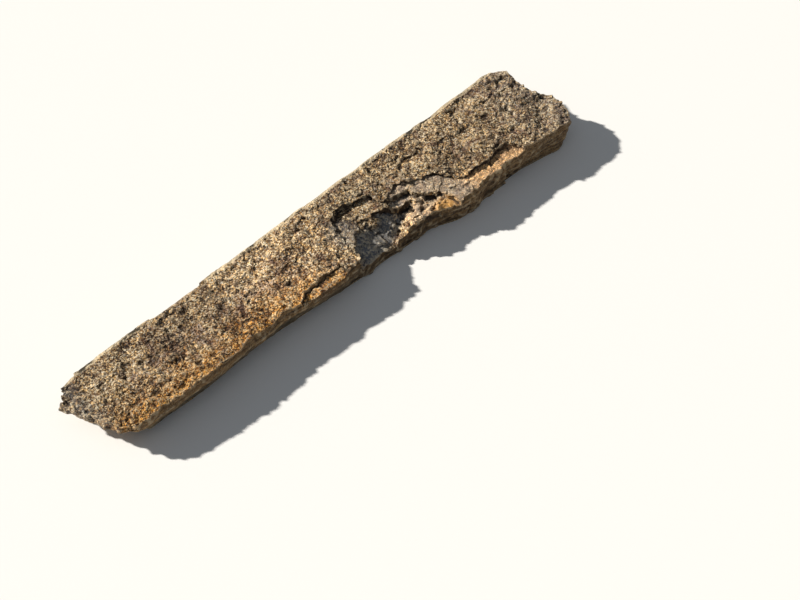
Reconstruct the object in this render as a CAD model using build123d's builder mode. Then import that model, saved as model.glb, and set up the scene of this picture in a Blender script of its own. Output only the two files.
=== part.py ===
"""Coursed walling stone: one strip of sandstone, riven along its bed, sawn along its back
and broken along its front and ends.

X runs along the course, +Y points to the sawn back, +Z is up off the bed. Millimetres.
"""

import os
from math import pi, sin

from build123d import *

# Overall size
LENGTH = 620.0  # from the tip of one broken end to the tip of the other
BED_DEPTH = 108.0  # from the sawn back to the furthest point of the front
HEIGHT = 36.0  # from the bed to the highest swell of the riven top
LIP_LEVEL = 25.0  # height of the lip, where the stone is longest and deepest
CROWN_BACK = 2.5  # how far the riven top's edge stands back from the lip below it

# Sawn back: how far in from the tips its two corners stand
BACK_LEFT = 34.0
BACK_RIGHT = 32.0

# Split front: how far its slim left part and its stout right part stand back from the front line
SLIM_BACK = 18.0
STOUT_BACK = 5.0
SHOULDER_X = 128.0  # middle of the shoulder where the front steps out
SHOULDER_RUN = 36.0  # length over which it steps out
FRONT_WAVE = 1.6  # swell of the split front
FRONT_WAVE_LENGTH = 150.0
FRONT_POINTS = 18  # points that carry the front's curve
LEFT_UNDERCUT = 12.0  # how far the foot sits back under the lip on the left
RIGHT_UNDERCUT = 2.5  # the same on the right
UNDERCUT_X = -12.0  # middle of the stretch where the one turns into the other
UNDERCUT_RUN = 90.0  # length of that stretch

# Left break, from the sawn back: its prongs (in from the left tip, forward of the back), then
# its corner (in from the left tip, back from the front line) and the start of the front arris
LEFT_PRONGS = [(17, 2), (18, 8), (11, 10), (16, 15), (0, 20), (9, 35), (14, 50)]
LEFT_CORNER = [(25, 29), (38, 18)]
CORNER_LEFT = 68.0
END_UNDERCUT = 26.0  # how far the foot of the left break sits back under its lip

# Right break: a rounded snout at the front with a flatter stretch behind it
CORNER_RIGHT = 22.0  # end of the front arris, in from the right tip
SNOUT_DEEP = 68.0  # depth of the right tip, forward of the back
TAIL_IN = 10.0  # how far in the stretch behind the snout stands
TAIL_DEEP = 16.0  # where that stretch turns to the sawn back
TAIL_UNDERCUT = 8.0  # how far the foot of the right break sits back under its lip

# Riven top
RIVEN_SWELL = 1.0  # rise and fall of the riven face
SWELL_LENGTH = 190.0  # length of one swell along the course
SWELL_WIDTH = 130.0  # length of one swell across it
RIVEN_LUMP = 1.1  # rise and fall of the lumps on those swells
LUMP_LENGTH = 54.0  # length of one wave of lumps along the course
LUMP_WIDTH = 46.0  # length of one wave of lumps across it
LUMP_BEND = 1.4  # how far the rows of lumps wander, as an angle of their wave
END_FALL = 2.5  # how far the riven face falls off at the two ends
END_FALL_LENGTH = 70.0  # length over which it falls off
RIVEN_STEPS = (64, 14)  # cells of the grid that carries the face, along and across

# Flake scars, where layers of the bed have shelled off the front
FLAKE = 4.5  # thickness of one layer
THIN_FLAKE = 2.8  # thickness of the thin layer at the top of the bed
FLAKE_LEAN = 0.35  # how far the wall of a scar leans, for each unit of its height
SCAR_X = 78.0  # the shelled scar's place along the front
ARC_START = -66.0  # where the outermost scar starts to sink, along from the scar's place
ARC_RAMP = 0.16  # fall of its floor there, for each unit along
SCOOP_BACK = 56.0  # depth from the front line to the back of the hollow
SCOOP_RIM = 29.0  # height of the hollow's floor there
SCOOP_FLOOR = (0.15, -0.45)  # fall of that floor to the right and to the front
RIB = (7, 36, 16)  # a point at the foot of the rib that shuts the hollow on the right
RIB_FLANK = (-0.46, 0.63)  # fall of the rib's flank to the right and to the front

# Outlines of the scars: (along from the scar's place, back from the front line)
ARC_SCAR = [(-90, 30), (-62, 48), (-56, 68), (-38, 82), (-20, 80), (0, 73), (4, 57)]
THIN_SCAR = [(4, 57), (28, 66), (50, 54), (64, 49), (69, 38), (82, 24), (118, 22), (146, 26), (152, 12)]
INNER_SCAR = [(-14, 30), (4, 57), (32, 53), (36, 43), (54, 27), (58, 14)]
SCOOP = [(-68, 16), (-57, 40), (-32, 56), (-11, 55), (9, 46), (28, 45), (36, 26), (16, 8)]

# Ledge chipped from the slim part's arris, one layer deep
LEDGE_X = -34.0
LEDGE = [(-33, 20), (-20, 26), (8, 27), (27, 29)]

# Notch under the stout part, where a low layer has broken away from the foot
NOTCH_X = 207.0
NOTCH_HEIGHT = 15.0
FOOT_NOTCH = [(0, 12), (25, 11), (70, 3)]

# Chip along the sawn back's arris: (along from its place, back from the sawn face)
CHIP_X = -148.0
BACK_CHIP = [(-34, 0), (-20, -4), (6, -5), (30, -3)]

# Edge of the upper layer where it has snapped off the left end: (in from the left tip, forward)
SNAPPED_EDGE = [(36, 0), (32, 9), (29, 20), (17, 25), (8, 29), (0, 31)]

CLEAR = 10.0  # how far a cutting outline runs past the stone


def left(distance):
    """X of a point that far in from the left tip."""
    return distance - LENGTH / 2


def right(distance):
    """X of a point that far in from the right tip."""
    return LENGTH / 2 - distance


def deep(distance):
    """Y of a point that far forward of the sawn back."""
    return BED_DEPTH / 2 - distance


def fore(distance):
    """Y of a point that far back from the front line."""
    return distance - BED_DEPTH / 2


def turned(x, middle, run):
    """0 before a stretch along the course, 1 after it, eased between them."""
    share = min(1.0, max(0.0, (x - middle) / run + 0.5))
    return share * share * (3 - 2 * share)


def front_line(x, undercut):
    """Y of the split front, where undercut is 0 at the lip and 1 at the foot."""
    stands_back = SLIM_BACK + (STOUT_BACK - SLIM_BACK) * turned(x, SHOULDER_X, SHOULDER_RUN)
    foot_back = LEFT_UNDERCUT + (RIGHT_UNDERCUT - LEFT_UNDERCUT) * turned(x, UNDERCUT_X, UNDERCUT_RUN)
    wave = FRONT_WAVE * sin(2 * pi * x / FRONT_WAVE_LENGTH)
    return fore(stands_back + undercut * foot_back + wave)


def bed_outline(level, undercut, crown):
    """Plan of the stone at one level: the lip's outline, undercut below it or drawn in above it."""
    end_back = undercut * END_UNDERCUT + crown
    tail_back = undercut * TAIL_UNDERCUT + crown
    start, stop = left(CORNER_LEFT + end_back / 2), right(CORNER_RIGHT + tail_back)
    columns = [start + (stop - start) * i / FRONT_POINTS for i in range(FRONT_POINTS)]
    nose = (stop, fore(undercut * RIGHT_UNDERCUT + crown))
    tip = (right(tail_back), deep(SNOUT_DEEP))
    prongs = [(left(x + end_back), deep(d)) for x, d in LEFT_PRONGS]
    corner = [(left(x + end_back), fore(b + undercut * LEFT_UNDERCUT + crown)) for x, b in LEFT_CORNER]
    with BuildSketch(Plane.XY.offset(level)) as outline:
        with BuildLine():
            front = Spline(*[(x, front_line(x, undercut) + crown) for x in columns], nose)
            snout = Spline(front @ 1, tip, tangents=((1, 0.4), (0, 1)))
            tail = Spline(
                snout @ 1,
                (right(TAIL_IN + tail_back), deep((SNOUT_DEEP + TAIL_DEEP) / 2)),
                (right(TAIL_IN + tail_back), deep(TAIL_DEEP)),
                (right(BACK_RIGHT + tail_back), deep(0)),
            )
            back = Line(tail @ 1, (left(BACK_LEFT + end_back), deep(0)))
            Polyline(back @ 1, *prongs, *corner, front @ 0)
        make_face()
    return outline.sketch


def riven_height(x, y):
    """Height of the riven face: lumps on long swells, falling off towards both ends."""
    swell = sin(2 * pi * x / SWELL_LENGTH + 1) * sin(2 * pi * y / SWELL_WIDTH + 2 * pi * x / LENGTH)
    row = sin(2 * pi * x / LUMP_LENGTH + LUMP_BEND * sin(2 * pi * y / SWELL_WIDTH))
    lump = row * sin(2 * pi * y / LUMP_WIDTH + LUMP_BEND * sin(2 * pi * x / SWELL_LENGTH))
    run_in = max(0.0, abs(x) - LENGTH / 2 + END_FALL_LENGTH) / END_FALL_LENGTH
    return riven_level + RIVEN_SWELL * swell + RIVEN_LUMP * lump - END_FALL * run_in**2


def riven_face():
    """The riven top as one free-form face, wide enough to trim the whole stone."""
    steps_x, steps_y = RIVEN_STEPS
    span_x, span_y = LENGTH + 2 * CLEAR, BED_DEPTH + 2 * CLEAR
    columns = [span_x * (i / steps_x - 0.5) for i in range(steps_x + 1)]
    rows = [span_y * (j / steps_y - 0.5) for j in range(steps_y + 1)]
    grid = [[(x, y, riven_height(x, y)) for y in rows] for x in columns]
    return Face.make_surface_from_array_of_points(grid)


def scar_floor(x, height, points, mouth=fore(-CLEAR)):
    """Level floor of a scar from its outline, open to a mouth past the stone."""
    edge = fore(0) if mouth < 0 else deep(0)
    first, last = (points[0][0], mouth - edge), (points[-1][0], mouth - edge)
    with BuildSketch(Plane((x, edge, height))) as floor:
        with BuildLine():
            Polyline(first, *points, last, close=True)
        make_face()
    return floor.sketch


def arc_flake():
    """What the outermost scar takes away: its floor sinks from the left, then runs level."""
    start = Plane((SCAR_X + ARC_START, 0, riven_level), z_dir=(ARC_RAMP, 0, 1))
    with BuildPart() as flake:
        extrude(scar_floor(SCAR_X, riven_level - FLAKE, ARC_SCAR), amount=HEIGHT, dir=(0, FLAKE_LEAN, 1))
        split(bisect_by=start, keep=Keep.TOP)
    return flake.part


def scoop():
    """What the hollow takes away: it stands on a floor that falls to the front and on the rib's flank."""
    rib_x, rib_back, rib_height = RIB
    floor = Plane((SCAR_X + SCOOP[2][0], fore(SCOOP_BACK), SCOOP_RIM), z_dir=(*SCOOP_FLOOR, 1))
    flank = Plane((SCAR_X + rib_x, fore(rib_back), rib_height), z_dir=(*RIB_FLANK, 1))
    with BuildPart() as hollow:
        extrude(scar_floor(SCAR_X, 0, SCOOP), amount=HEIGHT + CLEAR)
        split(bisect_by=floor, keep=Keep.TOP)
        split(bisect_by=flank, keep=Keep.TOP)
    return hollow.part


riven_level = HEIGHT - RIVEN_SWELL - RIVEN_LUMP
foot = bed_outline(0, 1, 0)
lip = bed_outline(LIP_LEVEL, 0, 0)
crown = bed_outline(HEIGHT, 0, CROWN_BACK)

with BuildPart() as stone:
    # The broken blank: its foot sits back under its lip
    loft(sections=[foot, lip, crown], ruled=True)
    # The riven top
    extrude(riven_face(), amount=HEIGHT, dir=(0, 0, 1), mode=Mode.SUBTRACT)
    # The shelled scar, layer by layer, and the ledge beside it
    add(arc_flake(), mode=Mode.SUBTRACT)
    scars = [
        scar_floor(SCAR_X, riven_level - THIN_FLAKE, THIN_SCAR),
        scar_floor(SCAR_X, riven_level - THIN_FLAKE - FLAKE, INNER_SCAR),
        scar_floor(LEDGE_X, riven_level - FLAKE, LEDGE),
    ]
    for floor in scars:
        extrude(floor, amount=HEIGHT, dir=(0, FLAKE_LEAN, 1), mode=Mode.SUBTRACT)
    # The hollow that falls to the front
    add(scoop(), mode=Mode.SUBTRACT)
    # The chip in the back's arris leans the other way
    chip = scar_floor(CHIP_X, riven_level - FLAKE, BACK_CHIP, mouth=deep(-CLEAR))
    extrude(chip, amount=HEIGHT, dir=(0, -FLAKE_LEAN, 1), mode=Mode.SUBTRACT)
    # The notch opens downwards
    notch = scar_floor(NOTCH_X, NOTCH_HEIGHT, FOOT_NOTCH)
    extrude(notch, amount=HEIGHT, dir=(0, 0, -1), mode=Mode.SUBTRACT)
    # The prongs left standing low where the upper layer has snapped off
    with BuildSketch(Plane.XY.offset(riven_level - FLAKE)):
        with BuildLine():
            edge = [(left(x), deep(d)) for x, d in SNAPPED_EDGE]
            past = left(-CLEAR)
            far = deep(-CLEAR)
            Polyline((edge[0][0], far), *edge, (past, edge[-1][1]), (past, far), close=True)
        make_face()
    extrude(amount=HEIGHT, mode=Mode.SUBTRACT)

stone.part.label = "walling_stone"
os.makedirs("parts", exist_ok=True)
export_step(stone.part, "parts/walling_stone.step")
print("volume", round(stone.part.volume), "valid", stone.part.is_valid, stone.part.bounding_box())
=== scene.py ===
"""Coursed walling stone: the riven sandstone finish of its one piece, on a plain lit floor.

Laid out as an add-on and run as a script. Lengths are in metres where millimetres aren't named, in the
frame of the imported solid.
"""

from math import cos, radians, sin

import bmesh
import bpy
import numpy as np
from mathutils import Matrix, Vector, noise


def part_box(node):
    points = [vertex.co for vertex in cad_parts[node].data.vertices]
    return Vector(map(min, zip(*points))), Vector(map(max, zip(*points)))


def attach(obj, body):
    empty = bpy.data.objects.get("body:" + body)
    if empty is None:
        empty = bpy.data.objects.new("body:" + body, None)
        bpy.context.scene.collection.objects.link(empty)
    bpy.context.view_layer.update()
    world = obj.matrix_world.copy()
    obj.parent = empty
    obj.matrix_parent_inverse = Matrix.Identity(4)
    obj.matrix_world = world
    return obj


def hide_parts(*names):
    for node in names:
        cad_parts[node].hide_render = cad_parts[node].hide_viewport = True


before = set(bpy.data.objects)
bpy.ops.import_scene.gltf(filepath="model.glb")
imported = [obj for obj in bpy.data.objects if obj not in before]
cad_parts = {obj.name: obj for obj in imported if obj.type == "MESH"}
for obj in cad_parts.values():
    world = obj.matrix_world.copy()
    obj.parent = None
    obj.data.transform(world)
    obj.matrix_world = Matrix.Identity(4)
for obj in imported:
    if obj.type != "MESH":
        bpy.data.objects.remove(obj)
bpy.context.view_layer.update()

bl_info = {
    "name": "Coursed Walling Stone",
    "version": (1, 0, 0),
    "blender": (4, 5, 0),
    "location": "3D View > Sidebar > Stone",
    "description": "Dresses the walling stone's solid in riven sandstone and lights it on a floor",
    "category": "Object",
}

NODE = "walling_stone"
LOW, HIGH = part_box(NODE)
MM = 0.001

# Spots on the stone in millimetres: where they lie and how far they reach
CRUMBLED_RIB = (102, -27, 25), 22
STUCK_CRUMB = (57, -4, 25), 9
PALE_MIDDLE = (-45, 8, 34), 95
BRUISE = (163, -27, 33), 14
# The rib, made paler partly as painted highlight
PALE_AND_HIGHLIGHT_RIB = (96, -29, 23), 32
GREY_RIM = (24, 2, 31), 24
# Where the hollow's floor is sunlit and gets painted shade
PAINTED_SHADE_SUNLIT_FLOOR = (52, -22, 20), 17
IRON_SPOT = (124, -42, 27), 18

# Edges of stretches along the stone in millimetres: where each starts and where it is full
DEEP_BAYS = (0, 15), (235, 215)
COARSE_END = (190, 260)
RAISED_LEDGE = (-68, -40), (5, -5)
TERRACE = (80, 95)
WARM_STRIP = (150, 175)
RUSTY_PART = (0, -60)
RUSTY_LEDGE = (-45, -10), (8, 0)
PURPLE_BAND = (-260, -210), (-20, -60)
HOLLOW_SIDE = (10, 25)
GREY_RIGHT_END = (220, 300)
GREY_LEFT_END = (-278, -292)
FRESH_FRONT = (60, -60)
# Stretch of the front darkened as painted shade
PAINTED_SHADE_FRONT = (-30, 20), (150, 100)
# Stretch where the scarps of the scars get painted shade
PAINTED_SHADE_SCARPS = (14, 34), (240, 225)
BACK_CHIP = (-198, -188), (-106, -116)

# Small rises, margins and lengths of the relief
LEDGE_RISE = 2.2 * MM
TERRACE_DROP = 0.8 * MM
CRUMB_RISE = 2.8 * MM
SCAR_DEPTH = 4.3 * MM, 4.8 * MM
SCAR_REACH = 250 * MM, 230 * MM
BED_MARGIN = 1.6 * MM, 0.6 * MM
SAWN_MARGIN = 0.6 * MM, 0.1 * MM
BAY_MARGIN = 6 * MM
BACK_MARGIN = 3 * MM
WANDER_LENGTH = 60 * MM
LUMP_SIZE = 9 * MM
SMALL_LUMP_SIZE = 4.2 * MM

# Tints that colours of the stone are multiplied by
WARM_GRAIN = (1.10, 0.83, 0.48)
COOL_GRAIN = (0.78, 0.88, 1.12)
DUSKY = (0.36, 0.29, 0.31)
PALER = (1.35, 1.33, 1.30)
RUSTY = (1.00, 0.69, 0.28)
PURPLISH = (0.62, 0.55, 0.62)
GOLDEN = (1.42, 1.14, 0.82)
# Paler tint for the bruise, and partly painted highlight on the rib
PALE_AND_HIGHLIGHT_TINT = (1.50, 1.42, 1.30)
PATINA = (0.60, 0.68, 0.84)
BLUISH = (0.92, 0.98, 1.08)
EARTHY = (0.80, 0.66, 0.50)
# Painted shade on a stretch of the front
PAINTED_SHADE_TINT = (0.45, 0.45, 0.45)


def ease(start, stop, value):
    """0 before start and 1 after stop, smooth between them; start may be the larger."""
    share = min(1.0, max(0.0, (value - start) / (stop - start)))
    return share * share * (3 - 2 * share)


def within(stretch, value):
    """1 inside a stretch, 0 outside it, smooth over its two edges."""
    return ease(*stretch[0], value) * ease(*stretch[1], value)


class StoneRelief(bpy.types.PropertyGroup):
    """Sizes of the relief that the split left on the stone."""

    strip: bpy.props.FloatProperty(
        name="Strip", description="Width of the strips that the rough faces are cut into for their relief",
        default=1.15 * MM, unit="LENGTH", precision=4)
    plain_strip: bpy.props.FloatProperty(
        name="Plain strip", description="Width of the strips on the bed and the sawn back",
        default=6 * MM, unit="LENGTH", precision=4)
    bay_size: bpy.props.FloatProperty(
        name="Bay size", description="Length of the bays along broken edges",
        default=24 * MM, unit="LENGTH", precision=4)
    bay_reach: bpy.props.FloatProperty(
        name="Bay reach", description="How far the bays bite into broken edges",
        default=2.8 * MM, unit="LENGTH", precision=4)
    clump_size: bpy.props.FloatProperty(
        name="Clump size", description="Width of the clumps on the riven top",
        default=11 * MM, unit="LENGTH", precision=4)
    clump_height: bpy.props.FloatProperty(
        name="Clump height", description="Rise and fall of those clumps",
        default=1.9 * MM, unit="LENGTH", precision=4)
    grain_size: bpy.props.FloatProperty(
        name="Grain size", description="Width of the coarse grains on the riven top",
        default=1.9 * MM, unit="LENGTH", precision=4)
    grain_height: bpy.props.FloatProperty(
        name="Grain height", description="Height of those grains",
        default=0.8 * MM, unit="LENGTH", precision=4)
    pit_size: bpy.props.FloatProperty(
        name="Pit size", description="Width of the pits where clumps have dropped out",
        default=9 * MM, unit="LENGTH", precision=4)
    pit_depth: bpy.props.FloatProperty(
        name="Pit depth", description="Depth of those pits",
        default=1.2 * MM, unit="LENGTH", precision=4)
    crumb_size: bpy.props.FloatProperty(
        name="Crumb size", description="Width of the crumbs beside the hollow",
        default=5 * MM, unit="LENGTH", precision=4)
    crumb_height: bpy.props.FloatProperty(
        name="Crumb height", description="Rise and fall of those crumbs",
        default=2.6 * MM, unit="LENGTH", precision=4)
    bed_gap: bpy.props.FloatProperty(
        name="Bed gap", description="Height between the bedding lines on the split sides",
        default=5.5 * MM, unit="LENGTH", precision=4)
    bed_depth: bpy.props.FloatProperty(
        name="Bed depth", description="How far one bed stands out past the next on the split front",
        default=0.5 * MM, unit="LENGTH", precision=4)
    break_depth: bpy.props.FloatProperty(
        name="Break depth", description="Rise and fall of the rough broken ends",
        default=2.6 * MM, unit="LENGTH", precision=4)
    hollow_size: bpy.props.FloatProperty(
        name="Hollow size", description="Width of the shallow hollows in the bed",
        default=26 * MM, unit="LENGTH", precision=4)
    hollow_depth: bpy.props.FloatProperty(
        name="Hollow depth", description="Depth of those hollows",
        default=1.0 * MM, unit="LENGTH", precision=4)


class StoneColours(bpy.types.PropertyGroup):
    """Colours of the sandstone."""

    pit: bpy.props.FloatVectorProperty(
        name="Pit", description="Dirt in the pits and crevices", subtype="COLOR", size=3,
        default=(0.026, 0.019, 0.016))
    brown: bpy.props.FloatVectorProperty(
        name="Brown", description="Darker grain", subtype="COLOR", size=3,
        default=(0.130, 0.084, 0.050))
    tan: bpy.props.FloatVectorProperty(
        name="Tan", description="Most of the grain", subtype="COLOR", size=3,
        default=(0.325, 0.218, 0.108))
    cream: bpy.props.FloatVectorProperty(
        name="Cream", description="Palest grain", subtype="COLOR", size=3,
        default=(0.800, 0.660, 0.450))
    rust: bpy.props.FloatVectorProperty(
        name="Rust", description="Iron stain along the front arris", subtype="COLOR", size=3,
        default=(0.720, 0.350, 0.055))
    slate: bpy.props.FloatVectorProperty(
        name="Slate", description="Grey of the hollow and the right end", subtype="COLOR", size=3,
        default=(0.240, 0.246, 0.262))
    dust: bpy.props.FloatVectorProperty(
        name="Dust", description="Pinkish dust on the terrace of the scar", subtype="COLOR", size=3,
        default=(0.80, 0.66, 0.54))
    olive: bpy.props.FloatVectorProperty(
        name="Olive", description="Fresh stone low on the split front", subtype="COLOR", size=3,
        default=(0.130, 0.118, 0.082))
    sawn: bpy.props.FloatVectorProperty(
        name="Sawn", description="Clean stone on the sawn back", subtype="COLOR", size=3,
        default=(0.195, 0.178, 0.132))


class StageSettings(bpy.types.PropertyGroup):
    """The floor, the lights and the camera."""

    azimuth: bpy.props.FloatProperty(
        name="Azimuth", description="Turn of the camera from looking along the depth",
        default=radians(-45.2), subtype="ANGLE")
    elevation: bpy.props.FloatProperty(
        name="Elevation", description="Height of the camera over the floor, as an angle",
        default=radians(50.0), subtype="ANGLE")
    distance: bpy.props.FloatProperty(
        name="Distance", description="From the camera to the point it looks at",
        default=2.185, unit="LENGTH")
    aim: bpy.props.FloatVectorProperty(
        name="Aim", description="Point at the middle of the picture", size=3, subtype="TRANSLATION",
        default=(1.5 * MM, -98.3 * MM, 34.2 * MM))
    lens: bpy.props.FloatProperty(
        name="Lens", description="Focal length of the camera, in millimetres", default=103.5, unit="CAMERA")
    key_turn: bpy.props.FloatProperty(
        name="Key turn", description="Side that the main light comes from, turned from +X",
        default=radians(122), subtype="ANGLE")
    key_rise: bpy.props.FloatProperty(
        name="Key rise", description="Height of the main light, as an angle",
        default=radians(29), subtype="ANGLE")
    key_softness: bpy.props.FloatProperty(
        name="Key softness", description="Angle that the main light fills in the sky",
        default=radians(2.0), subtype="ANGLE")
    key_power: bpy.props.FloatProperty(
        name="Key power", description="Strength of the main light", default=7.0)
    key_colour: bpy.props.FloatVectorProperty(
        name="Key colour", description="Colour of the main light", subtype="COLOR", size=3,
        default=(1.0, 0.95, 0.86))
    fill_power: bpy.props.FloatProperty(
        name="Fill power", description="Strength of the soft light from the other side", default=6.0)
    fill_colour: bpy.props.FloatVectorProperty(
        name="Fill colour", description="Colour of that soft light", subtype="COLOR", size=3,
        default=(0.86, 0.92, 1.0))
    light_distance: bpy.props.FloatProperty(
        name="Light distance", description="From the stone to the lights", default=3.0, unit="LENGTH")
    sky_power: bpy.props.FloatProperty(
        name="Sky power", description="Strength of the even light all round", default=0.17)
    sky_colour: bpy.props.FloatVectorProperty(
        name="Sky colour", description="Colour of that even light", subtype="COLOR", size=3,
        default=(0.88, 0.94, 1.0))
    floor_colour: bpy.props.FloatVectorProperty(
        name="Floor", description="Colour of the floor", subtype="COLOR", size=3,
        default=(0.80, 0.80, 0.80))


class Wire:
    """One socket of a material's nodes. Arithmetic on it adds Math nodes."""

    def __init__(self, bench, socket):
        self.bench = bench
        self.socket = socket

    def math(self, operation, *values):
        return self.bench.node("ShaderNodeMath", {"operation": operation}, dict(enumerate(values)))

    def sibling(self, output):
        """Another output of the same node."""
        return Wire(self.bench, self.socket.node.outputs[output])

    def __add__(self, other):
        return self.math("ADD", self, other)

    def __sub__(self, other):
        return self.math("SUBTRACT", self, other)

    def __rsub__(self, other):
        return self.math("SUBTRACT", other, self)

    def __mul__(self, other):
        return self.math("MULTIPLY", self, other)

    __radd__ = __add__
    __rmul__ = __mul__


class Bench:
    """The node tree of one material, and the one way in which nodes are added to it."""

    def __init__(self, name):
        self.material = bpy.data.materials.new(name)
        self.material.use_nodes = True
        self.tree = self.material.node_tree
        self.tree.nodes.clear()

    def node(self, kind, settings, sockets, output=0):
        """A node of this kind, with its settings made first and its sockets then set or linked."""
        made = self.tree.nodes.new(kind)
        for key, value in settings.items():
            if key == "stops":
                self.set_stops(made.color_ramp, value)
            else:
                setattr(made, key, value)
        for key, value in sockets.items():
            if isinstance(value, Wire):
                self.tree.links.new(value.socket, made.inputs[key])
            else:
                made.inputs[key].default_value = value
        return Wire(self, made.outputs[output]) if made.outputs else made

    @staticmethod
    def set_stops(ramp, stops):
        while len(ramp.elements) < len(stops):
            ramp.elements.new(1.0)
        for element, (place, colour) in zip(ramp.elements, stops):
            element.position = place
            element.color = (*colour, 1.0)

    def span(self, value, start, stop):
        """0 at start and 1 at stop, smooth between them."""
        return self.node(
            "ShaderNodeMapRange", {"interpolation_type": "SMOOTHSTEP"},
            {"Value": value, "From Min": start, "From Max": stop})

    def within(self, stretch, value):
        """1 inside a stretch, 0 outside it."""
        return self.span(value, *stretch[0]) * self.span(value, *stretch[1])

    def cloud(self, place, size, detail=3.0, roughness=0.55):
        """Noise about 0.5 with lumps of the given size."""
        return self.node(
            "ShaderNodeTexNoise", {},
            {"Vector": place, "Scale": 1 / size, "Detail": detail, "Roughness": roughness})

    def stretched(self, place, size, detail=3.0):
        """Noise about 0.5 with lumps of the given sizes along the three axes."""
        scale = tuple(1 / length for length in size)
        scaled = self.node("ShaderNodeMapping", {}, {"Vector": place, "Scale": scale})
        return self.cloud(scaled, 1.0, detail)

    def spot(self, place, centre, reach):
        """1 at a centre, 0 past its reach."""
        away = self.node(
            "ShaderNodeVectorMath", {"operation": "DISTANCE"}, {0: place, 1: centre}, "Value")
        return self.span(away, reach, 0.4 * reach)

    def mix(self, factor, first, second, blend="MIX"):
        """Mix of two colours."""
        return self.node(
            "ShaderNodeMix", {"data_type": "RGBA", "blend_type": blend},
            {"Factor": factor, 6: self.colour(first), 7: self.colour(second)}, 2)

    def tint(self, factor, body, shade):
        """A colour multiplied by a tint."""
        return self.mix(factor, body, shade, "MULTIPLY")

    @staticmethod
    def colour(value):
        return value if isinstance(value, Wire) else (*value, 1.0)

    def attribute(self, name):
        return self.node("ShaderNodeAttribute", {"attribute_name": name}, {}, "Fac")


class Faces:
    """How much a point of the stone belongs to its riven top, sawn back, bed and split sides."""

    def __init__(self, point, normal):
        from_back = HIGH.y - point.y
        self.bed = ease(0.3, 0.6, -normal.z) * ease(*BED_MARGIN, point.z)
        self.back = ease(0.3, 0.6, normal.y) * ease(*SAWN_MARGIN, from_back)
        self.top = ease(0.35, 0.75, normal.z)
        self.side = max(0.0, 1 - self.bed - self.back - self.top)
        self.end = self.side * ease(0.35, 0.75, abs(normal.x))
        self.front = self.side - self.end
        # Floors where layers have shelled off lie below the riven top, which falls off at its ends
        depth = HIGH.z - point.z
        self.shelled = self.top * ease(*SCAR_DEPTH, depth) * ease(*SCAR_REACH, abs(point.x))


def cut_strips(bm, faces, axis, width):
    """Cut faces across one axis into strips of about the given width, halving them again and again."""
    pending = [list(faces)]
    done = []
    while pending:
        part = pending.pop()
        places = [vert.co[axis] for face in part for vert in face.verts]
        low, high = min(places), max(places)
        if high - low < 1.5 * width:
            done.extend(part)
            continue
        middle = width * round((low + high) / 2 / width)
        if not low < middle < high:
            middle = (low + high) / 2
        corner, along = Vector(), Vector()
        corner[axis], along[axis] = middle, 1.0
        edges = {edge for face in part for edge in face.edges}
        verts = {vert for face in part for vert in face.verts}
        cut = bmesh.ops.bisect_plane(
            bm, geom=[*part, *edges, *verts], dist=0.001 * MM, plane_co=corner, plane_no=along)
        pieces = [face for face in cut["geom"] if isinstance(face, bmesh.types.BMFace)]
        before = [face for face in pieces if face.calc_center_median()[axis] < middle]
        pending.append(before)
        pending.append([face for face in pieces if face.calc_center_median()[axis] >= middle])
        pending = [group for group in pending if group]
    return done


def is_plain(face):
    """Whether a face lies on the bed or on the sawn back."""
    return face.normal.z < -0.9 or face.normal.y > 0.99


def even_mesh(relief):
    """The solid's own mesh, merged and cut into even strips, finer where the relief shows."""
    bm = bmesh.new()
    bm.from_mesh(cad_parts[NODE].data)
    bmesh.ops.remove_doubles(bm, verts=bm.verts, dist=0.001 * MM)
    bm.normal_update()
    rough = [face for face in bm.faces if not is_plain(face)]
    for axis in range(3):
        rough = cut_strips(bm, rough, axis, relief.strip)
    bm.normal_update()
    plain = [face for face in bm.faces if is_plain(face)]
    for axis in range(3):
        plain = cut_strips(bm, plain, axis, relief.plain_strip)
    bmesh.ops.remove_doubles(bm, verts=bm.verts, dist=0.3 * relief.strip)
    bmesh.ops.triangulate(bm, faces=[face for face in bm.faces if len(face.verts) > 4])
    bm.normal_update()
    for edge in bm.edges:
        edge.smooth = edge.calc_face_angle(0.0) < radians(40)
    for face in bm.faces:
        face.smooth = is_plain(face)
    mesh = bpy.data.meshes.new("riven_stone")
    bm.to_mesh(mesh)
    bm.free()
    stone = bpy.data.objects.new("riven_stone", mesh)
    bpy.context.collection.objects.link(stone)
    return stone


def drift(point, size, seed):
    """Smooth noise between about -0.9 and 0.9, another for each seed."""
    return noise.noise(point / size + Vector((17.3, 41.7, 5.9)) * seed)


def ragged(point, faces, relief):
    """Sideways shift that breaks up straight edges; the sawn back and the bed stay where they are."""
    free = (1 - faces.back) * (1 - faces.bed) * ease(HIGH.y, HIGH.y - BAY_MARGIN, point.y)
    reach = relief.bay_reach * free * (1 + 0.6 * within(DEEP_BAYS, point.x / MM))
    shift = Vector()
    for axis, seed in ((0, 1), (1, 3)):
        bays = drift(point, relief.bay_size, seed)
        nicks = drift(point, relief.bay_size / 3.4, seed + 1)
        nibbles = (1 - 0.7 * faces.front) * drift(point, relief.bay_size / 7, seed + 20)
        shift[axis] = reach * (bays + 0.6 * nicks + 0.5 * nibbles)
    return shift


def from_crumb(point):
    """How far a point lies from the crumb stuck in the hollow, in millimetres."""
    return (point / MM - Vector(STUCK_CRUMB[0])).length


def crumbly_ground(point):
    """How much a point lies on the crumbled rib beside the hollow, or on the crumb stuck in it."""
    centre, reach = CRUMBLED_RIB
    away = point / MM - Vector(centre)
    away.x *= 0.5
    return max(ease(reach, 13, away.length), ease(STUCK_CRUMB[1], 6, from_crumb(point)))


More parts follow.
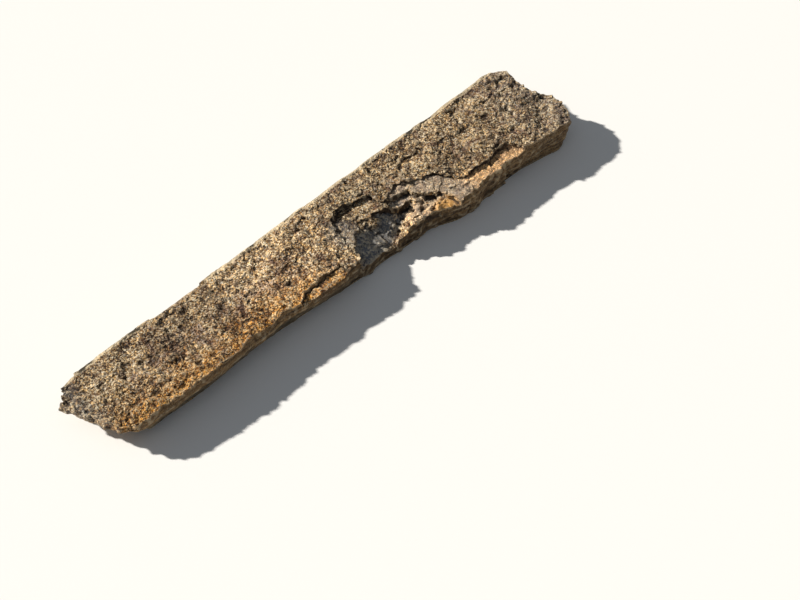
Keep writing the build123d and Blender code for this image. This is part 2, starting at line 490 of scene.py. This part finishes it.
def riven(point, faces, relief):
    """Height of the riven grain: clumps, grains of their own heights, pits, and crumbs at the scars."""
    along = point.x / MM
    clump = drift(point, relief.clump_size, 5) + 0.6 * drift(point, relief.clump_size / 2.3, 6)
    gaps, seats = noise.voronoi(point / relief.grain_size)
    grain = 0.3 * noise.cell(seats[0] * 11) + 0.5 - gaps[0]
    pit = ease(0.20, 0.50, drift(point, relief.pit_size, 8))
    coarse = 1 + 0.2 * ease(*COARSE_END, along)
    rough = coarse * relief.clump_height * clump - relief.pit_depth * pit + relief.grain_height * grain
    crumbly = crumbly_ground(point)
    crumb = drift(point, relief.crumb_size, 19) + 0.7 * drift(point, relief.crumb_size / 2, 20)
    crumbs = relief.crumb_height * crumb * crumbly + CRUMB_RISE * ease(7, 2, from_crumb(point))
    # The grain dies down towards the back's arris, and a little on the floors of the scars
    edge = 0.35 + 0.65 * ease(HIGH.y, HIGH.y - BACK_MARGIN, point.y)
    smooth = 0.3 * faces.shelled * (1 - crumbly)
    # The ledge on the slim part is shallow, and the terrace lies a little deeper
    level = LEDGE_RISE * within(RAISED_LEDGE, along) - TERRACE_DROP * ease(*TERRACE, along)
    return rough * (1 - smooth) * edge + crumbs + level * faces.shelled


def split(point, relief):
    """Depth of the split front: bedding lines that wander a little, and a faint grain."""
    level = point.z / relief.bed_gap + 1.2 * drift(point, WANDER_LENGTH, 9)
    bed = drift(Vector((point.x / 6, point.y / 6, level * relief.bed_gap)), relief.bed_gap, 10)
    grain = drift(point, relief.grain_size, 11)
    return relief.bed_depth * (bed + 0.5 * grain)


def broken(point, relief):
    """Depth of the broken ends: coarse lumps stacked in beds."""
    bed = drift(Vector((point.x / 3, point.y / 3, point.z)), relief.bed_gap, 12)
    lump = drift(point, LUMP_SIZE, 13) + 0.6 * drift(point, SMALL_LUMP_SIZE, 14)
    return relief.break_depth * (0.5 * bed + 0.6 * lump)


def height_over(points, normals, edges, rounds):
    """How far each point stands out of the average of its neighbourhood."""
    count = len(points)
    ends = np.concatenate((edges[:, 0], edges[:, 1]))
    others = np.concatenate((edges[:, 1], edges[:, 0]))
    valence = np.bincount(ends, minlength=count)
    mean = points.copy()
    for _ in range(rounds):
        mean = np.stack([np.bincount(ends, mean[others, k], count) / valence for k in range(3)], axis=1)
    return ((points - mean) * normals).sum(axis=1)


def read_mesh(mesh):
    """Points, normals and edges of a mesh as arrays."""
    points = np.empty(len(mesh.vertices) * 3)
    normals = np.empty(len(mesh.vertices) * 3)
    edges = np.empty(len(mesh.edges) * 2, dtype=np.int32)
    mesh.vertices.foreach_get("co", points)
    mesh.vertices.foreach_get("normal", normals)
    mesh.edges.foreach_get("vertices", edges)
    return points.reshape(-1, 3), normals.reshape(-1, 3), edges.reshape(-1, 2)


def write_attribute(mesh, name, values):
    """Store one number for each point of the mesh."""
    layer = mesh.attributes.new(name, "FLOAT", "POINT")
    layer.data.foreach_set("value", np.asarray(values, dtype=np.float32))


def cut_relief(stone, relief):
    """Cut the riven, split and broken faces into the even mesh, and keep where each face lies."""
    mesh = stone.data
    marks = {"top": [], "back": [], "front": [], "shelled": []}
    moved = []
    for vertex in mesh.vertices:
        point, normal = vertex.co.copy(), vertex.normal.copy()
        faces = Faces(point, normal)
        out = faces.front * split(point, relief) + faces.end * broken(point, relief)
        out += faces.top * riven(point, faces, relief)
        place = point + ragged(point, faces, relief) + normal * out
        if normal.z < -0.95:
            place.z += relief.hollow_depth * ease(0.0, 0.5, drift(point, relief.hollow_size, 15))
        place.y = min(place.y, HIGH.y)
        place.z = max(place.z, LOW.z)
        moved.append(place)
        for name, values in marks.items():
            values.append(getattr(faces, name))
    mesh.vertices.foreach_set("co", np.array(moved).ravel())
    mesh.update()
    for name, values in marks.items():
        write_attribute(mesh, name, values)
    points, normals, edges = read_mesh(mesh)
    write_attribute(mesh, "grain", height_over(points, normals, edges, 6) / MM)
    write_attribute(mesh, "crevice", height_over(points, normals, edges, 60) / MM)


class Skin:
    """Where a point of the stone lies and what its grain is like, as wires of one material."""

    def __init__(self, bench):
        place = bench.node("ShaderNodeTexCoord", {}, {}, "Object")
        self.mm = bench.node("ShaderNodeMapping", {}, {"Vector": place, "Scale": (1 / MM, 1 / MM, 1 / MM)})
        self.along = bench.node("ShaderNodeSeparateXYZ", {}, {"Vector": self.mm}, "X")
        self.across, self.height = self.along.sibling("Y"), self.along.sibling("Z")
        self.top, self.back = bench.attribute("top"), bench.attribute("back")
        self.front, self.shelled = bench.attribute("front"), bench.attribute("shelled")
        self.grain, self.crevice = bench.attribute("grain"), bench.attribute("crevice")
        # Each grain has a shade and a warmth of its own, broken up by finer sand
        wander = bench.node(
            "ShaderNodeTexNoise", {}, {"Vector": self.mm, "Scale": 0.8, "Detail": 2.0}, "Color")
        bent = bench.node(
            "ShaderNodeVectorMath", {"operation": "MULTIPLY_ADD"},
            {0: wander, 1: (2.0, 2.0, 2.0), 2: self.mm})
        cell = bench.node("ShaderNodeTexVoronoi", {}, {"Vector": bent, "Scale": 1 / 1.3}, "Color")
        self.shade = bench.node("ShaderNodeSeparateColor", {}, {"Color": cell}, "Red")
        self.warmth, self.greyness = self.shade.sibling("Green"), self.shade.sibling("Blue")
        self.sand = bench.cloud(self.mm, 0.9, 2.0)
        self.mottle = bench.cloud(self.mm, 30.0, 4.0)
        self.lines = bench.stretched(self.mm, (60.0, 60.0, 2.2), 5.0)


def grain_colour(bench, skin, colours):
    """Colour of the riven grain: tan and cream, warm and cool grains, dusky mottles, a paler middle."""
    tone = 1.05 * skin.shade + 0.9 * skin.sand + 1.1 * (skin.mottle - 0.5) - 0.27
    stops = [(0.15, colours.pit), (0.46, colours.brown), (0.72, colours.tan), (1.0, colours.cream)]
    plain = bench.node("ShaderNodeValToRGB", {"stops": stops}, {"Fac": tone})
    warm = bench.tint(0.85 * bench.span(skin.warmth, 0.45, 0.85), plain, WARM_GRAIN)
    cool = bench.tint(0.8 * bench.span(skin.greyness, 0.65, 0.9), warm, COOL_GRAIN)
    dusk = bench.span(bench.cloud(skin.mm, 9.0), 0.50, 0.64)
    patch = bench.span(bench.cloud(skin.mm, 22.0), 0.48, 0.64)
    body = bench.tint(0.65 * dusk + 0.5 * patch, cool, DUSKY)
    return bench.tint(bench.spot(skin.mm, *PALE_MIDDLE), body, PALER)


def stained(bench, skin, body):
    """The grain with iron stain towards the front arris of the slim part, and a purplish band behind it."""
    depth = skin.across + 50.0 * (skin.mottle - 0.5)
    ledge = skin.shelled * bench.within(RUSTY_LEDGE, skin.along)
    band = bench.span(depth, 14.0, -32.0) * bench.span(skin.along, *RUSTY_PART) + 0.8 * ledge
    patchy = bench.span(bench.cloud(skin.mm, 11.0), 0.2, 0.55)
    rusty = bench.tint(band * patchy * (0.55 + 0.75 * skin.warmth), body, RUSTY)
    behind = bench.span(depth, 30.0, 12.0) * bench.span(depth, -14.0, 4.0)
    blotchy = bench.span(bench.cloud(skin.mm, 13.0), 0.42, 0.60)
    purple = behind * blotchy * bench.within(PURPLE_BAND, skin.along)
    return bench.tint(0.75 * purple, rusty, PURPLISH)


def shelled_floors(bench, skin, colours, body):
    """The grain with pinkish dust on the terrace, a warm strip beside it, a pale bruise, and a rib made
    paler partly as painted highlight.
    """
    terrace = skin.shelled * bench.span(skin.along, *TERRACE)
    dusty = bench.mix(terrace, body, bench.mix(0.25, body, colours.dust))
    warm = bench.tint(terrace * bench.span(skin.along, *WARM_STRIP), dusty, GOLDEN)
    # The rib is made paler partly as painted highlight
    pale = bench.spot(skin.mm, *BRUISE) + bench.spot(skin.mm, *PALE_AND_HIGHLIGHT_RIB)
    return bench.tint(pale, warm, PALE_AND_HIGHLIGHT_TINT)


def weathered(bench, skin, colours, body):
    """The top with grey patina in the hollow and at both ends, and one orange spot of iron; the hollow's
    floor gets painted light in the rim's shadow and painted shade in its sunlit patch.
    """
    grey = bench.mix(0.5, bench.tint(1.0, body, PATINA), colours.slate)
    right_end = bench.span(skin.along + 70.0 * (skin.mottle - 0.5), *GREY_RIGHT_END)
    left_end = bench.span(skin.along + 20.0 * (skin.mottle - 0.5), *GREY_LEFT_END)
    dusty = 0.6 * bench.spot(skin.mm, *GREY_RIM) + 0.3 * right_end + 0.4 * left_end
    # The hollow ends at the foot of the rib, and a golden crumb is stuck in it
    foot = bench.span(24.0 * skin.across - 9.0 * skin.along, -1300.0, -1150.0)
    inside = foot * bench.span(skin.along, *HOLLOW_SIDE) * (1.0 - bench.spot(skin.mm, *STUCK_CRUMB))
    hollow = skin.top * inside * bench.span(skin.height, 26.4, 24.6)
    # The floor's pale bluish-grey specks are painted light where the rim's shadow falls; in its sunlit patch
    # the darker grey is painted shade
    clumps = 0.6 * skin.shade + 0.4 * skin.sand + 2.2 * (bench.cloud(skin.mm, 4.5) - 0.5)
    dark = bench.mix(0.65, colours.pit, colours.slate)
    pale = bench.mix(0.7, colours.slate, colours.cream)
    specks_with_painted_light = bench.tint(1.0, bench.mix(bench.span(clumps, 0.30, 0.90), dark, pale), BLUISH)
    floor = bench.mix(0.9 - 0.8 * bench.spot(skin.mm, *PAINTED_SHADE_SUNLIT_FLOOR), grey, specks_with_painted_light)
    greyed = bench.mix(hollow, bench.mix(dusty, body, grey), floor)
    iron = bench.spot(skin.mm, *IRON_SPOT)
    return bench.mix(0.95 * iron, greyed, bench.mix(0.75, greyed, colours.rust))


def split_face(bench, skin, colours, body):
    """The split front: brown bedding lines, olive where the stone is fresh; painted shade darkens one
    stretch of it and the scarps of the scars.
    """
    level = skin.height + 14.0 * (skin.lines - 0.5)
    fresh = bench.span(level, 22.0, 12.0) * bench.span(skin.along, *FRESH_FRONT)
    joint = bench.mix(bench.span(skin.lines, 0.25, 0.72), colours.pit, colours.tan)
    brown = bench.tint(0.5, bench.mix(0.2, joint, body), EARTHY)
    face = bench.mix(0.7 * fresh, brown, colours.olive)
    # Painted shade darkens a middle stretch of the front
    face_with_painted_shade = bench.tint(0.65 * bench.within(PAINTED_SHADE_FRONT, skin.along), face, PAINTED_SHADE_TINT)
    # Painted shade on the scarps of the scars, behind the front arris
    inner = bench.span(skin.across + 0.1 * skin.along, -20.0, -14.0)
    return bench.mix(0.75 * inner * bench.within(PAINTED_SHADE_SCARPS, skin.along), face_with_painted_shade, colours.pit)


def rough_normal(bench, skin):
    """Fine grain on the riven faces, lines on the split front and saw marks on the back."""
    fine = bench.cloud(skin.mm, 1.2, 3.0, 0.65)
    saw = bench.stretched(skin.mm, (2.2, 50.0, 60.0), 2.0)
    rough = (fine + 0.4 * skin.shade) * (1.0 - 0.7 * skin.front - 0.85 * skin.back)
    relief = rough + 0.3 * skin.back * saw + 0.5 * skin.front * skin.lines
    return bench.node("ShaderNodeBump", {}, {"Strength": 1.0, "Distance": 2 * MM, "Height": relief})


def sandstone(colours):
    """Sandstone: tan and cream grain, dirt and painted shade in its pits, rust along the front arris, grey
    patina, painted highlight on grain tops and the back arris.
    """
    bench = Bench("sandstone")
    skin = Skin(bench)
    body = grain_colour(bench, skin, colours)
    floors = shelled_floors(bench, skin, colours, stained(bench, skin, body))
    riven_top = weathered(bench, skin, colours, floors)
    sides = bench.mix(skin.front, riven_top, split_face(bench, skin, colours, body))
    # Dirt and painted shade in pits and crevices
    dirt_and_painted_shade = bench.mix(0.6 * bench.span(skin.grain, 0.0, -0.7), sides, colours.pit)
    # Crevices darkened towards the pit colour: painted shade as well as dirt
    dark = bench.mix(0.8 * bench.span(skin.crevice, -1.0, -2.6), dirt_and_painted_shade, colours.pit)
    # Pale worn tops on the grain: wear and painted highlight
    tips = bench.span(skin.grain, 0.1, 0.6) * bench.span(skin.grain, 1.2, 0.7)
    wear_and_painted_highlight = bench.mix(0.5 * tips, dark, bench.mix(0.6, dark, colours.cream))
    # The sawn back shows clean stone; its arris gets a pale line of painted highlight where it isn't chipped
    whole = 1.0 - bench.within(BACK_CHIP, skin.along)
    arris = bench.span(skin.across, 50.0, 51.4) * skin.top * whole
    with_arris_highlight = bench.mix(0.9 * arris, wear_and_painted_highlight, bench.mix(0.75, body, colours.cream))
    clean = bench.mix(skin.back, with_arris_highlight, bench.mix(0.7, body, colours.sawn))
    surface = bench.node(
        "ShaderNodeBsdfPrincipled", {},
        {"Base Color": clean, "Roughness": 0.80 + 0.16 * skin.sand, "Normal": rough_normal(bench, skin),
         "Specular IOR Level": 0.25})
    bench.node("ShaderNodeOutputMaterial", {}, {"Surface": surface})
    return bench.material


class STONE_OT_walling_stone(bpy.types.Operator):
    """Dress the solid as one riven walling stone"""

    bl_idname = "stone.walling_stone"
    bl_label = "Walling Stone"

    def execute(self, context):
        scene = context.scene
        stone = even_mesh(scene.stone_relief)
        cut_relief(stone, scene.stone_relief)
        stone.data.materials.append(sandstone(scene.stone_colours))
        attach(stone, "root")
        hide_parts(NODE)
        return {"FINISHED"}


def toward(turn, rise, distance):
    """Point at this distance, turned from +X and risen off the floor."""
    return distance * Vector((cos(rise) * cos(turn), cos(rise) * sin(turn), sin(rise)))


def add_floor(colour):
    """A plain pale floor, wide enough to fill the picture."""
    bm = bmesh.new()
    bmesh.ops.create_grid(bm, x_segments=1, y_segments=1, size=12.0)
    mesh = bpy.data.meshes.new("floor")
    bm.to_mesh(mesh)
    bm.free()
    floor = bpy.data.objects.new("floor", mesh)
    bpy.context.collection.objects.link(floor)
    bench = Bench("pale_floor")
    surface = bench.node("ShaderNodeBsdfPrincipled", {}, {"Base Color": (*colour, 1.0), "Roughness": 0.9})
    bench.node("ShaderNodeOutputMaterial", {}, {"Surface": surface})
    mesh.materials.append(bench.material)


def add_light(name, kind, place, size, power, colour):
    """A soft light of a kind, at a place and pointing at the stone; a sun's size is its angle."""
    data = bpy.data.lights.new(name, kind)
    data.energy = power
    data.color = colour
    if kind == "SUN":
        data.angle = size
    else:
        data.size = size
    lamp = bpy.data.objects.new(name, data)
    lamp.location = place
    lamp.rotation_euler = (-place).to_track_quat("-Z", "Y").to_euler()
    bpy.context.collection.objects.link(lamp)


def add_camera(stage):
    """The camera, standing off from its aim by its angles."""
    data = bpy.data.cameras.new("camera")
    data.lens = stage.lens
    data.sensor_width = 36.0
    data.clip_end = 50.0
    camera = bpy.data.objects.new("camera", data)
    away = toward(stage.azimuth - radians(90), stage.elevation, stage.distance)
    camera.location = Vector(stage.aim) + away
    camera.rotation_euler = (-away).to_track_quat("-Z", "Y").to_euler()
    bpy.context.collection.objects.link(camera)
    bpy.context.scene.camera = camera


def even_sky(stage):
    """Even light all round."""
    world = bpy.data.worlds.new("studio")
    world.use_nodes = True
    sky = world.node_tree.nodes["Background"]
    sky.inputs["Color"].default_value = (*stage.sky_colour, 1.0)
    sky.inputs["Strength"].default_value = stage.sky_power
    return world


class STONE_OT_stage(bpy.types.Operator):
    """Set the floor, the lights and the camera"""

    bl_idname = "stone.stage"
    bl_label = "Stage"

    def execute(self, context):
        scene = context.scene
        stage = scene.stone_stage
        add_floor(stage.floor_colour)
        far = stage.light_distance
        key = toward(stage.key_turn, stage.key_rise, far)
        fill = toward(stage.key_turn + radians(110), radians(60), far)
        add_light("key", "SUN", key, stage.key_softness, stage.key_power, stage.key_colour)
        add_light("fill", "AREA", fill, far, stage.fill_power, stage.fill_colour)
        add_camera(stage)
        scene.world = even_sky(stage)
        scene.view_settings.view_transform = "Standard"
        return {"FINISHED"}


class STONE_PT_walling(bpy.types.Panel):
    """Sizes, colours and pieces of the walling stone"""

    bl_label = "Walling Stone"
    bl_idname = "STONE_PT_walling"
    bl_space_type = "VIEW_3D"
    bl_region_type = "UI"
    bl_category = "Stone"

    def draw(self, context):
        scene = context.scene
        for group in (scene.stone_relief, scene.stone_colours, scene.stone_stage):
            box = self.layout.box()
            for name in group.__annotations__:
                box.prop(group, name)
        self.layout.operator(STONE_OT_walling_stone.bl_idname)
        self.layout.operator(STONE_OT_stage.bl_idname)


CLASSES = (
    StoneRelief, StoneColours, StageSettings,
    STONE_OT_walling_stone, STONE_OT_stage, STONE_PT_walling,
)


def register():
    for cls in CLASSES:
        bpy.utils.register_class(cls)
    bpy.types.Scene.stone_relief = bpy.props.PointerProperty(type=StoneRelief)
    bpy.types.Scene.stone_colours = bpy.props.PointerProperty(type=StoneColours)
    bpy.types.Scene.stone_stage = bpy.props.PointerProperty(type=StageSettings)


def unregister():
    del bpy.types.Scene.stone_stage
    del bpy.types.Scene.stone_colours
    del bpy.types.Scene.stone_relief
    for cls in reversed(CLASSES):
        bpy.utils.unregister_class(cls)


def main():
    register()
    bpy.ops.stone.walling_stone()
    bpy.ops.stone.stage()


if __name__ == "__main__":
    main()
